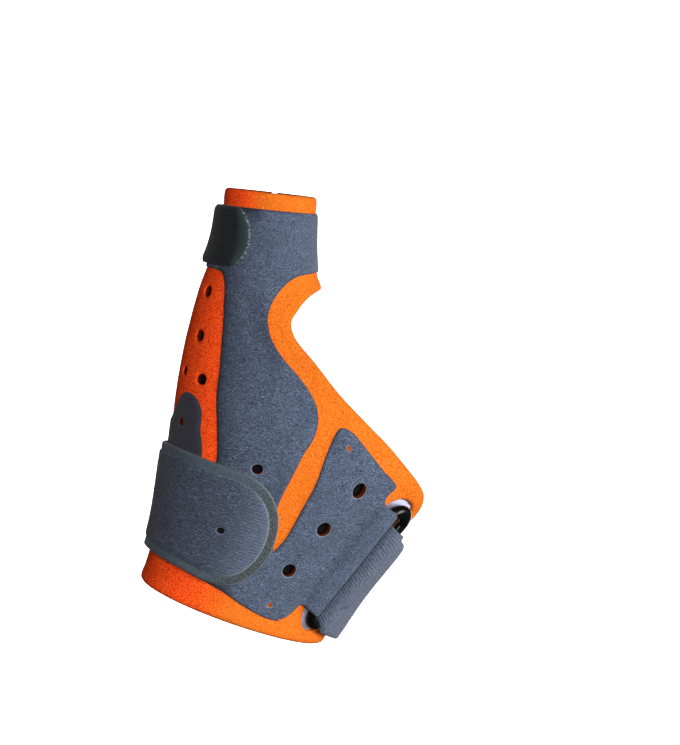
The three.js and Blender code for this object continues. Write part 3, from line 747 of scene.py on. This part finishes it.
def build_shell():
    outline, free = shell_outline()
    holes = hole_loops(SHELL_HOLES, VENT_HOLE + 0.3) + hole_loops(SNAP_HOLES, SNAP_HOLE)
    sheet = Sheet(outline, holes, spacing=1.0, free=free)
    along, across = ring_place(sheet.turn, sheet.height)
    beside = sheet.height < RING_HEIGHT + RING_LENGTH / 2 + TONGUE_SLOPE
    near = np.where(beside, 1 - eased(across, WRAP_JOIN, WRAP_JOIN + TONGUE_SLOPE), 0)
    base = VELOUR_DEPTH + (TONGUE_DEPTH + bridge(along) - VELOUR_DEPTH) * near
    crease = np.exp(-((across - WRAP_JOIN - 1.2) / 1.5) ** 2) * (1 - eased(np.abs(along), 17, 21)) * beside
    dip = 0.3 * crease * near * eased(across, WRAP_JOIN, WRAP_JOIN + 0.8)
    base = np.maximum(base - dip, VELOUR_DEPTH)
    # Painted shade along the shell's edge beside the orange stripe, where the edge rolls down
    rolled = np.exp(-sheet.border / 3.0) * eased(sheet.turn, 92, 106) * (1 - eased(sheet.turn, 136, 145))
    low, high = velour_faces(sheet.points, sheet.edge)
    # Painted shade in the crease by the ring and along that edge
    shade = np.clip(0.3 * crease + 0.95 * rolled, 0, 1)
    tongue, wrap = wrap_part(1, TONGUE_DEPTH, TONGUE_WIDTH, TONGUE_SHIFT, velour_faces, TONGUE_SKEW)
    parts = [thick_mesh(sheet, base + low, base + high, shade=shade), wrap]
    material = velour_material("shell_velour", SHELL_COLOURS)
    piece = make_piece("shell_velour", parts, material, "outer_shell")
    finish_sheets([sheet, tongue])


def build_palm_panel():
    holes = hole_loops(PALM_HOLES, VENT_HOLE + 0.3)
    sheet = Sheet(drawn_runs(PALM_OUTLINE, CLOTH_STEP), holes, spacing=1.0)
    low, high = velour_faces(sheet.points, sheet.edge)
    part = thick_mesh(sheet, VELOUR_DEPTH + low, VELOUR_DEPTH + high)
    material = velour_material("palm_velour", PALM_COLOURS)
    piece = make_piece("palm_velour", [part], material, "palm_panel")
    finish_sheets([sheet])


def strap_faces(points, edge):
    """A welded border, flat and thin, then the raised velour inside it."""
    raised = eased(edge, STRAP_BORDER - 0.1, STRAP_BORDER + 0.9)
    outer = STRAP_WALL * (0.7 + 0.3 * raised) - rounding(edge, *STRAP_ROUNDING)
    outer -= 0.08 * np.exp(-((edge - STRAP_BORDER) / 0.35) ** 2)
    return 0 * edge, outer + 0.03 * noise(points, 3, 8) * raised


def wrap_faces(points, edge):
    return 0 * edge, STRAP_WALL - rounding(edge, *WRAP_ROUNDING) + 0.02 * noise(points, 3, 9)


def strap_base(turn, height):
    along, across = ring_place(turn, height)
    free = STRAP_DEPTH + (STRAP_SKIN_GAP - STRAP_DEPTH) * eased(turn, *STRAP_LEAVES)
    over = free + (VELOUR_DEPTH - free) * eased(turn, *STRAP_CLIMBS)
    high = -WRAP_JOIN - STRAP_STAY
    return over + (STRAP_LIFT + bridge(along) - over) * eased(across, high - STRAP_FALL, high)


def band_sides(centre, width, end_turn, end_length):
    """The upper and lower side of a band with a rounded end, from the end's tip outwards. centre holds
    turns and heights."""
    centre = centre[np.argsort(centre[:, 0])]
    share = np.sin(np.linspace(0, math.pi / 2, 40))
    turns = end_turn + end_length * (1 - np.sqrt(1 - share ** 2))
    halves = width / 2 * share
    beyond = centre[centre[:, 0] > turns[-1] + 0.5, 0]
    turns, halves = np.r_[turns, beyond], np.r_[halves, np.full(len(beyond), width / 2)]
    heights = np.interp(turns, centre[:, 0], centre[:, 1])
    sides = (np.stack([turns * PITCH, heights + sign * halves], -1) for sign in (1, -1))
    return tuple(respaced(side, CLOTH_STEP) for side in sides)


def strap_outline():
    half = STRAP_JOIN_WIDTH / 2
    start_turn, start_height = on_ring(STRAP_SHIFT, -WRAP_JOIN)
    line = [(start_turn, start_height / SPLINT_HEIGHT)] + STRAP_LINE
    centre = drawn_runs([line], 0.5) / np.array([PITCH, 1])
    centre = centre[centre[:, 0] < start_turn - 14]
    upper, lower = band_sides(centre, STRAP_WIDTH, STRAP_LINE[-1][0], STRAP_END)
    upper[:, 1] -= STRAP_DROP * eased(upper[:, 0] / PITCH, start_turn - 60, start_turn - 14)
    free = ring_line(STRAP_SHIFT + np.linspace(-half, half, STATIONS), -WRAP_JOIN)
    above = smooth_run([upper[-8], upper[-1], free[-1]], CLOTH_STEP)
    below = smooth_run([lower[-8], lower[-1], free[0]], CLOTH_STEP)
    return joined([free, above[::-1][1:], upper[-9:0:-1], lower[:-8], below[:-1]], CLOTH_STEP)


def strap_hole_shade_disc(turn, share, size):
    """A disc behind a hole in the strap, painted near-black as the shade inside the hole."""
    disc = Sheet(circle(turn, share, size + 1.4), spacing=1.0)
    base = strap_base(disc.turn, disc.height)
    return thick_mesh(disc, base - 0.2, base - 0.03, hole=0)


def build_wrist_strap():
    sheet = Sheet(strap_outline(), hole_loops(STRAP_HOLES, VENT_HOLE), spacing=1.0, free=(0, STATIONS - 1))
    base = strap_base(sheet.turn, sheet.height)
    across = ring_place(sheet.turn, sheet.height)[1]
    border = sheet.border + FAR * eased(sheet.turn, -130, -95)
    near = eased(across, -15, -WRAP_JOIN - 0.5)
    low, high = strap_faces(sheet.points, border)
    high -= rounding(sheet.edge, *WRAP_ROUNDING) * near
    high -= rounding(sheet.edge, *STRAP_RIM_ROUNDING) * (1 - near)
    tip = STRAP_LINE[-1][0]
    # shade marks the round end and the part by the ring: the velour there is painted paler as light, and the
    # round end gets its own border
    marks = dict(edge=border, shade=1 - eased(sheet.turn, tip + 10, tip + 34) + eased(across, -30, -10))
    angle = around(16)
    torn = [np.stack([2.7 + 0.55 * np.cos(angle), -8.5 + 0.85 * np.sin(angle)], -1)]
    roll, wrap = wrap_part(-1, STRAP_LIFT, STRAP_JOIN_WIDTH, STRAP_SHIFT, wrap_faces, ROLL_SKEW, torn, True)
    hole_shade_discs = [strap_hole_shade_disc(turn, share, VENT_HOLE * scale) for turn, share, scale in STRAP_HOLES]
    parts = [thick_mesh(sheet, base + low, base + high, **marks), wrap, *hole_shade_discs]
    piece = make_piece("strap_velour", parts, strap_material(), "wrist_strap")
    finish_sheets([sheet, roll])


def build_thumb_strap():
    turns = np.linspace(THUMB_STRAP_START, THUMB_STRAP_FINISH, 200)
    centre = np.stack([turns, 0 * turns + THUMB_STRAP_HEIGHT], -1)
    upper, lower = band_sides(centre, THUMB_STRAP_WIDTH, THUMB_STRAP_START, THUMB_STRAP_END)
    sheet = Sheet(joined([upper[::-1], lower[1:]], CLOTH_STEP), spacing=0.8)
    outer = STRAP_DEPTH + STRAP_WALL - rounding(sheet.edge, *THUMB_STRAP_ROUNDING)
    end = 1 - eased(sheet.turn, THUMB_STRAP_START + 10, THUMB_STRAP_START + 34)
    marks = dict(edge=sheet.border + FAR * (1 - end))
    part = thick_mesh(sheet, STRAP_DEPTH + 0 * outer, outer, **marks)
    piece = make_piece("thumb_strap_velour", [part], thumb_strap_material(), "thumb_strap")
    finish_sheets([sheet])


def build_ring():
    """The ring, a round wire along a rounded rectangle that bows with the cuff, thicker at its ends."""
    path = rounded_box((RING_LENGTH - RING_WIRE) / 2, BAR, BAR - 0.2, 14)
    ahead = np.roll(path, -1, 0) - np.roll(path, 1, 0)
    ahead /= np.linalg.norm(ahead, axis=1, keepdims=True)
    sides = 24
    angles = around(sides)
    rows = []
    for (x, y), (tx, ty) in zip(path, ahead):
        thicker = (RING_END - RING_WIRE) / 2 * ty ** 2
        out = np.cos(angles) * (RING_WIRE / 2 + thicker) - thicker
        along, across = x + ty * out, y - tx * out
        turn, height = on_ring(along, across)
        rows.append(place(turn, height, RING_DEPTH + np.sin(angles) * RING_WIRE / 2 + bridge(along)))
    count = len(rows)
    faces = [(i * sides + j, i * sides + (j + 1) % sides, (i + 1) % count * sides + (j + 1) % sides,
              (i + 1) % count * sides + j) for i in range(count) for j in range(sides)]
    uv = np.stack([np.repeat(np.arange(count), sides) * 0.6, np.tile(np.arange(sides), count) * 0.4], -1)
    part = (np.vstack(rows), faces, uv, {})
    make_piece("ring_plastic", [part], plastic_material(), "strap_ring")


def build_pad():
    """The pad behind the ring, which swells up into the two ends of the ring's window."""
    sheet = Sheet(ring_loop(WINDOW_MARGIN + PAD_MARGIN), spacing=1.0)
    along, across = ring_place(sheet.turn, sheet.height)
    beyond = np.abs(along) - RING_LENGTH / 2
    swell = eased(beyond, -3.5, -1) * (1 - eased(beyond, 0.6, WINDOW_MARGIN))
    swell *= 1 - eased(np.abs(across), 4, 6.6)
    outer = PAD_TOP - rounding(sheet.edge, *PAD_ROUNDING) + 1.7 * swell
    inner = PAD_TOP - PAD_WALL + 0 * outer
    part = thick_mesh(sheet, inner, outer)
    piece = make_piece("pad_cloth", [part], pad_material(), "ring_pad")


# Materials


def srgb(r, g, b):
    return tuple(((c / 255 + 0.055) / 1.055) ** 2.4 if c > 10 else c / 255 / 12.92 for c in (r, g, b)) + (1,)


SHELL_COLOURS = (srgb(28, 36, 50), srgb(72, 84, 104), srgb(150, 161, 182))
PALM_COLOURS = (srgb(30, 30, 40), srgb(50, 52, 64), srgb(80, 82, 98))
STRAP_COLOURS = (srgb(28, 34, 44), srgb(66, 74, 90), srgb(136, 149, 176))
THUMB_STRAP_COLOURS = (srgb(8, 10, 13), srgb(19, 23, 28), srgb(46, 54, 60))
# Lit and shaded copies of the felt's colours, the second painted on the left side as shade
FELT_LIT_SIDE_COLOURS = (srgb(160, 62, 8), srgb(200, 100, 22), srgb(226, 150, 82))
FELT_SHADED_SIDE_COLOURS = (srgb(166, 34, 6), srgb(240, 78, 20), srgb(255, 124, 76))
# Painted shade for the walls of holes in the felt and for the discs in the shell's small holes
HOLE_SHADE_COLOUR = srgb(44, 12, 7)
# The lining's near-black, also painted as shade on the walls of holes in velour and on the discs behind the
# strap's holes
LINING_AND_HOLE_SHADE_COLOUR = srgb(10, 9, 10)
LINING_PALE = srgb(24, 22, 24)
# Painted shade for creases and rolled edges of the velour
FOLD_SHADE_COLOUR = srgb(16, 18, 28)
PLASTIC_COLOUR = srgb(7, 7, 8)
BORDER_COLOURS = (srgb(48, 58, 66), srgb(70, 84, 92))
END_COLOURS = (srgb(34, 38, 38), srgb(76, 82, 80))
# Pale lines, one of them painted as the highlight on the ridge inside the strap's border
LINE_AND_HIGHLIGHT_COLOUR = srgb(112, 126, 130)
GREEN_END = srgb(42, 55, 59)
PAD_COLOURS = (srgb(140, 140, 162), srgb(176, 176, 198))


class Shader:
    """A material whose nodes are added by name, with values or sockets for their inputs."""

    def __init__(self, name):
        self.material = bpy.data.materials.new(name)
        self.material.use_nodes = True
        self.tree = self.material.node_tree
        self.surface = self.tree.nodes["Principled BSDF"]

    def node(self, kind, inputs=None, **settings):
        node = self.tree.nodes.new(kind)
        for name, value in settings.items():
            setattr(node, name, value)
        for key, value in (inputs or {}).items():
            self.feed(node.inputs[key], value)
        return node

    def feed(self, socket, value):
        if isinstance(value, bpy.types.NodeSocket):
            self.tree.links.new(value, socket)
        else:
            socket.default_value = value

    def cloth(self, across, up):
        """The cloth map in centimetres, stretched by two factors."""
        uv = self.node("ShaderNodeUVMap", uv_map="cloth").outputs["UV"]
        scaled = self.node("ShaderNodeVectorMath", {0: uv, 1: (across, up, 1)}, operation="MULTIPLY")
        return scaled.outputs["Vector"]

    def noise(self, vector, scale, detail=3, roughness=0.6, distortion=0):
        inputs = {"Vector": vector, "Scale": scale, "Detail": detail, "Roughness": roughness}
        return self.node("ShaderNodeTexNoise", inputs | {"Distortion": distortion}).outputs["Fac"]

    def grain(self, scale, detail, roughness=0.6):
        return self.noise(self.node("ShaderNodeTexCoord").outputs["Object"], scale, detail, roughness)

    def math(self, operation, a, b=0):
        return self.node("ShaderNodeMath", {0: a, 1: b}, operation=operation).outputs[0]

    def times(self, a, b):
        return self.math("MULTIPLY", a, b)

    def plus(self, a, b):
        return self.math("ADD", a, b)

    def minus(self, a, b):
        return self.math("SUBTRACT", a, b)

    def ramp(self, value, start, end):
        node = self.node("ShaderNodeMapRange", {"Value": value, "From Min": start, "From Max": end,
                                                "To Min": 0, "To Max": 1.0})
        node.interpolation_type = "SMOOTHSTEP"
        return node.outputs["Result"]

    def mix(self, share, a, b):
        node = self.node("ShaderNodeMix", data_type="RGBA")
        for place_in, value in ((0, share), (6, a), (7, b)):
            self.feed(node.inputs[place_in], value)
        return node.outputs[2]

    def mark(self, name):
        return self.node("ShaderNodeAttribute", attribute_name=name).outputs["Fac"]

    def fall(self, value, start, end, share=1):
        """share where the value is under start, down to none past end."""
        return self.times(self.minus(1, self.ramp(value, start, end)), share)

    def near(self, colour, mark, start, end, share, other):
        """The colour, turned into the other where a distance is small."""
        return self.mix(self.fall(self.mark(mark), start, end, share), colour, other)

    def blend(self, colour, value, start, end, share, other):
        """The colour, turned into the other where a texture is high."""
        return self.mix(self.times(self.ramp(value, start, end), share), colour, other)

    def bump(self, height, strength, distance):
        node = self.node("ShaderNodeBump", {"Height": height, "Strength": strength, "Distance": distance})
        self.feed(self.surface.inputs["Normal"], node.outputs["Normal"])

    def set(self, **values):
        for name, value in values.items():
            self.feed(self.surface.inputs[name.replace("_", " ")], value)
        return self.material


def felt_material():
    look = Shader("orange_felt")
    # Painted shade: the felt's colours turn into their deeper red shaded copy where the shade mark is high
    dark, light, tips = (look.mix(look.mark("shade"), front, left)
                         for front, left in zip(FELT_LIT_SIDE_COLOURS, FELT_SHADED_SIDE_COLOURS))
    fine = look.grain(2600, 4, 0.7)
    tufts = look.noise(look.cloth(1, 1.3), 17, 3, 0.65, 0.8)
    patches = look.grain(130, 2)
    colour = look.mix(look.ramp(tufts, 0.34, 0.62), dark, light)
    colour = look.blend(colour, patches, 0.35, 0.7, 0.3, light)
    colour = look.blend(colour, fine, 0.48, 0.7, 0.4, tips)
    # Painted shade in and round the holes
    colour = look.near(colour, "hole", 0, 0.05, 0.95, HOLE_SHADE_COLOUR)
    height = look.plus(look.times(tufts, 0.8), look.times(fine, 0.5))
    look.bump(height, 0.5, 0.00022)
    return look.set(Base_Color=colour, Roughness=0.95, Specular_IOR_Level=0.02)


def lining_material():
    look = Shader("dark_lining")
    weave = look.noise(look.cloth(1, 1), 60, 3)
    colour = look.mix(look.ramp(weave, 0.3, 0.7), LINING_AND_HOLE_SHADE_COLOUR, LINING_PALE)
    look.bump(weave, 0.3, 0.0001)
    return look.set(Base_Color=colour, Roughness=0.95, Specular_IOR_Level=0)


def pile(look, colours):
    """Colour and height of short velour with pale tips in wavy rows."""
    dark, middle, pale = colours
    rows = look.noise(look.cloth(0.8, 1.7), 13, 3, 0.62, 2.4)
    tips = look.noise(look.cloth(1, 1.8), 21, 3, 0.7, 1.6)
    fine = look.grain(3200, 3, 0.7)
    patches = look.grain(160, 2)
    colour = look.mix(look.ramp(rows, 0.36, 0.62), dark, middle)
    colour = look.blend(colour, tips, 0.54, 0.72, 0.7, pale)
    colour = look.blend(colour, patches, 0.3, 0.7, 0.18, dark)
    height = look.plus(look.times(rows, 0.9), look.times(fine, 0.35))
    return colour, look.plus(height, look.times(tips, 0.5))


def ripples(look, colour, height, dark):
    """Ribs that run along a band, wavy on the strap and straight and deep where it rolls round the ring."""
    rolled = look.mark("ribs")
    up = look.node("ShaderNodeSeparateXYZ", {0: look.cloth(1, 1)}).outputs["Y"]
    wobble = look.noise(look.cloth(1.3, 1), 5, 2)
    swing = look.minus(8, look.times(rolled, 4.5))
    phase = look.plus(look.times(up, 66), look.times(wobble, swing))
    uneven = look.ramp(look.noise(look.cloth(1.5, 4), 6, 2), 0.3, 0.6)
    ribs = look.math("SINE", phase)
    deep = look.times(look.plus(0.4, look.times(rolled, 0.3)), uneven)
    return look.blend(colour, ribs, 0.2, -0.9, deep, dark), look.plus(height, look.times(ribs, deep))


def welded_border(look, colour, height):
    """A smooth welded edge, which is rougher and darker round the end, with a faint ridge inside it, on
    which a pale line is painted as its highlight.
    """
    edge = look.mark("edge")
    end = look.mark("shade")
    flat = look.fall(edge, STRAP_BORDER - 0.3, STRAP_BORDER + 0.3)
    fuzz = look.grain(2000, 3, 0.75)
    plain = look.mix(look.ramp(fuzz, 0.3, 0.7), *BORDER_COLOURS)
    rough = look.mix(look.ramp(fuzz, 0.4, 0.68), *END_COLOURS)
    colour = look.mix(look.times(flat, 0.85), colour, look.mix(end, plain, rough))
    off_ridge = look.math("ABSOLUTE", look.minus(edge, STRAP_BORDER))
    # Painted highlight: a pale line along the ridge round the end
    ridge = look.times(look.fall(off_ridge, 0.05, 0.32, 0.5), end)
    colour = look.mix(ridge, colour, LINE_AND_HIGHLIGHT_COLOUR)
    colour = look.mix(look.times(look.fall(edge, 0.1, 0.4, 0.6), end), colour, LINE_AND_HIGHLIGHT_COLOUR)
    kept = look.minus(1, look.times(flat, 0.7))
    return colour, look.times(height, kept)


def finish_velour(look, colour, height, pale):
    """The pale rims of holes, painted shade on their walls, and the bumps."""
    colour = look.near(colour, "hole", 0.02, 0.3, 0.5, pale)
    # Painted shade: the walls of holes turn near-black
    colour = look.near(colour, "hole", 0, 0.03, 1, LINING_AND_HOLE_SHADE_COLOUR)
    look.bump(height, 0.6, 0.00028)
    return look.set(Base_Color=colour, Roughness=0.9, Sheen_Weight=0.08, Specular_IOR_Level=0.15)


def velour_material(name, colours):
    """Short velour with dark pressed edges, and painted shade in its crease and along its rolled edge."""
    look = Shader(name)
    colour, height = pile(look, colours)
    colour = look.near(colour, "edge", 0.05, 0.6, 0.6, colours[0])
    # Painted shade where the shade mark is high
    colour = look.mix(look.times(look.mark("shade"), 0.9), colour, FOLD_SHADE_COLOUR)
    return finish_velour(look, colour, height, colours[2])


def strap_material():
    look = Shader("strap_velour")
    colour, height = pile(look, STRAP_COLOURS)
    # Painted light: the velour turns paler at the round end and on the roll round the ring
    colour = look.mix(look.times(look.mark("shade"), 0.14), colour, STRAP_COLOURS[2])
    colour, height = ripples(look, colour, height, STRAP_COLOURS[0])
    colour, height = welded_border(look, colour, height)
    return finish_velour(look, colour, height, STRAP_COLOURS[2])


def thumb_strap_material():
    """Near-black velour that turns greenish at the round end, with a dotted pale edge there."""
    look = Shader("thumb_strap_velour")
    colour, height = pile(look, THUMB_STRAP_COLOURS)
    colour = look.near(colour, "edge", 0.3, 4.5, 0.6, GREEN_END)
    dots = look.ramp(look.grain(1500, 2), 0.5, 0.58)
    dots = look.times(look.fall(look.mark("edge"), 0.15, 0.5, 0.8), dots)
    colour = look.mix(dots, colour, LINE_AND_HIGHLIGHT_COLOUR)
    return finish_velour(look, colour, height, THUMB_STRAP_COLOURS[2])


def plastic_material():
    look = Shader("black_plastic")
    fine = look.grain(900, 2)
    look.bump(fine, 0.05, 0.0001)
    rough = look.node("ShaderNodeMapRange", {"Value": fine, "To Min": 0.16, "To Max": 0.26})
    return look.set(Base_Color=PLASTIC_COLOUR, Roughness=rough.outputs["Result"], Specular_IOR_Level=0.12)


def pad_material():
    look = Shader("lavender_cloth")
    weave = look.grain(2200, 3, 0.7)
    colour = look.mix(look.ramp(weave, 0.3, 0.7), *PAD_COLOURS)
    look.bump(weave, 0.3, 0.00015)
    return look.set(Base_Color=colour, Roughness=0.85, Sheen_Weight=0.1, Specular_IOR_Level=0.2)


# The studio: a lit white board, soft lights, and the camera at the photograph's angle

FRAME_WIDTH, FRAME_HEIGHT = 680, 745
MM_PER_PIXEL = 0.30
CAMERA_ROLL = math.radians(22.3)
CAMERA_ELEVATION = math.radians(4.6)
CAMERA_DISTANCE = 800.0
WRIST_PIXEL = (232.0, 611.5)
SENSOR = 36.0

# Metres: the point that the lights aim at, and the board's distance behind it and half side
AIM = Vector((0, 0, 0.06))
BOARD_DISTANCE = 0.5
BOARD_HALF = 0.3


def view_axes():
    """Looking direction, and the image's right and up, of a level view turned by the camera's roll."""
    looking = Vector((0, math.cos(CAMERA_ELEVATION), -math.sin(CAMERA_ELEVATION)))
    up = Vector((0, math.sin(CAMERA_ELEVATION), math.cos(CAMERA_ELEVATION)))
    right = Vector((1, 0, 0))
    roll_right = right * math.cos(CAMERA_ROLL) + up * math.sin(CAMERA_ROLL)
    roll_up = up * math.cos(CAMERA_ROLL) - right * math.sin(CAMERA_ROLL)
    return looking, roll_right, roll_up


def make_camera():
    looking, right, up = view_axes()
    dx, dy = FRAME_WIDTH / 2 - WRIST_PIXEL[0], FRAME_HEIGHT / 2 - WRIST_PIXEL[1]
    side = (dx * math.cos(CAMERA_ROLL) + dy * math.sin(CAMERA_ROLL)) * MM_PER_PIXEL
    rise = (dx * math.sin(CAMERA_ROLL) - dy * math.cos(CAMERA_ROLL)) * MM_PER_PIXEL
    target = Vector((side + CUFF_ORIGIN[0], CUFF_ORIGIN[1], rise / math.cos(CAMERA_ELEVATION)))
    data = bpy.data.cameras.new("photo_camera")
    data.sensor_fit = "VERTICAL"
    data.sensor_height = SENSOR
    data.lens = SENSOR * CAMERA_DISTANCE / MM_PER_PIXEL / FRAME_HEIGHT
    data.clip_start = 0.01
    data.clip_end = 20
    camera = bpy.data.objects.new("photo_camera", data)
    turn = Matrix((right, up, -looking)).transposed()
    camera.matrix_world = Matrix.Translation((target - looking * CAMERA_DISTANCE) * MM) @ turn.to_4x4()
    bpy.context.scene.collection.objects.link(camera)
    bpy.context.scene.camera = camera


def make_backdrop():
    """A lit white board behind the part, square to the camera."""
    looking, right, up = view_axes()
    middle = AIM + BOARD_DISTANCE * looking
    corners = [middle + BOARD_HALF * (i * right + j * up) for i, j in ((-1, -1), (1, -1), (1, 1), (-1, 1))]
    mesh = bpy.data.meshes.new("backdrop")
    mesh.from_pydata([tuple(c) for c in corners], [], [(0, 1, 2, 3)])
    board = bpy.data.objects.new("backdrop", mesh)
    bpy.context.scene.collection.objects.link(board)
    look = Shader("white_board")
    mesh.materials.append(look.set(Base_Color=(0.9, 0.9, 0.9, 1), Emission_Color=(1, 1, 1, 1),
                                     Emission_Strength=1.1))


# Name, place in metres, size, power and colour
LIGHTS = [
    ("key", (0.75, -0.75, 0.5), 0.4, 10.5, (1.0, 0.99, 0.97)),
    ("front", (0.1, -1.2, 0.35), 0.6, 16.5, (1.0, 1.0, 1.0)),
    ("right", (1.1, 0.0, 0.2), 0.5, 11.5, (1.0, 1.0, 1.0)),
    ("left_fill", (-0.9, -0.5, 0.1), 0.5, 0.9, (1.0, 0.45, 0.5)),
]


def make_lights():
    for name, stands, size, power, colour in LIGHTS:
        light = bpy.data.lights.new(name, "AREA")
        light.shape = "DISK"
        light.size = size
        light.energy = power
        light.color = colour
        lamp = bpy.data.objects.new(name, light)
        lamp.location = stands
        lamp.rotation_euler = (AIM - Vector(stands)).to_track_quat("-Z", "Y").to_euler()
        bpy.context.scene.collection.objects.link(lamp)
    world = bpy.data.worlds.new("studio")
    world.use_nodes = True
    background = world.node_tree.nodes["Background"].inputs
    background["Color"].default_value = (1, 1, 1, 1)
    background["Strength"].default_value = 0.03
    bpy.context.scene.world = world
    bpy.context.scene.view_settings.view_transform = "Standard"


for made in [o for o in bpy.data.objects if o.name in ("Cube", "Light", "Camera")]:
    bpy.data.objects.remove(made, do_unlink=True)

make_camera()
make_backdrop()
make_lights()
build_lining()
build_liner()
build_shell()
build_palm_panel()
build_wrist_strap()
build_thumb_strap()
build_ring()
build_pad()
